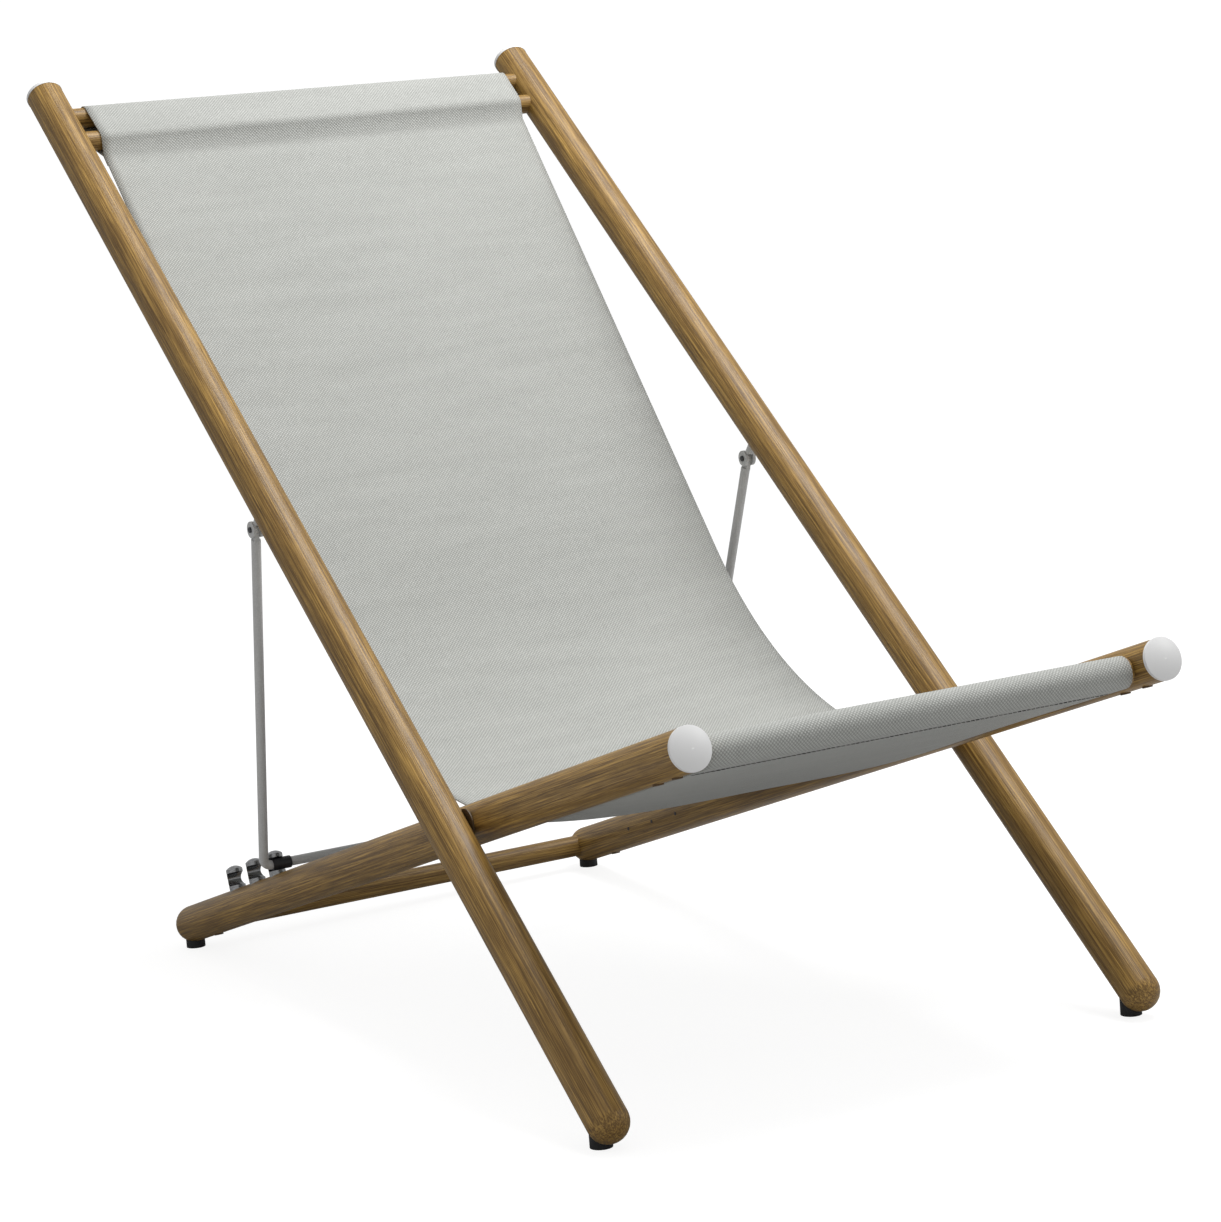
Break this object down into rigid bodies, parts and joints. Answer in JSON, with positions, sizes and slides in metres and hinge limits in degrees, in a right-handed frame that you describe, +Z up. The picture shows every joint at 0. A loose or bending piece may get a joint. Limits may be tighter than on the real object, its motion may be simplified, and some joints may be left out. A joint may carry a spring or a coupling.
{
  "type": "folding deck chair",
  "caption": "Folding deck chair: two round-pole frames crossing on a pivot, a woven sling hung between their rails, and a bent tube prop resting in catches.",
  "frame": {"origin": "on the floor, in the middle of the chair's width and depth", "axes": "+Z up, the sitter faces -Y, +X to the right of someone looking along +Y"},
  "size_m": [0.6298, 1.2476, 0.9701],
  "materials": {
    "teak": "oiled, satin",
    "teak_rail": "oiled, satin",
    "white_cap": "gloss",
    "black_rubber": "matt",
    "steel_bolt": "satin",
    "brass_insert": "satin",
    "brown_washer": "matt",
    "light_metal": "satin powder coat",
    "dark_pin": "satin",
    "black_sleeve": "satin",
    "brushed_peg": "brushed",
    "teak_plug": "oiled, satin",
    "sling_cloth": "plain woven mesh"
  },
  "bodies": {
    "back_frame": {"back_pole_left": "teak", "back_pole_right": "teak", "back_cap_left": "white_cap", "back_cap_right": "white_cap", "top_rail_upper": "teak_rail", "top_rail_lower": "teak_rail", "front_glides": "black_rubber", "pivot_bolts": "steel_bolt", "pivot_inserts": "brass_insert", "pivot_washers": "brown_washer", "prop_lug_left": "light_metal", "prop_lug_right": "light_metal", "sling": "sling_cloth"},
    "seat_frame": {"seat_pole_left": "teak", "seat_pole_right": "teak", "seat_cap_left": "white_cap", "seat_cap_right": "white_cap", "front_rail": "teak_rail", "rear_rail": "teak_rail", "catch_pegs_left": "brushed_peg", "catch_pegs_right": "brushed_peg", "peg_pins": "dark_pin", "rear_glides": "black_rubber", "pole_plugs": "teak_plug"},
    "prop": {"prop_bracket": "light_metal", "prop_sleeves": "black_sleeve", "prop_pins": "dark_pin"}
  },
  "joints": [
    {"name": "fold", "type": "hinge", "parent": "back_frame", "child": "seat_frame", "pos_m": [0, -0.23002, 0.24905], "axis": [1, 0, 0], "range_deg": [-6, 52], "deforming": ["sling"]},
    {"name": "prop_swing", "type": "hinge", "parent": "back_frame", "child": "prop", "pos_m": [0, 0.14318, 0.5028], "axis": [1, 0, 0], "range_deg": [-14, 115]}
  ],
  "couplings": [
    {"joint": "prop_swing", "follows": "fold", "ratio": 2.2}
  ]
}
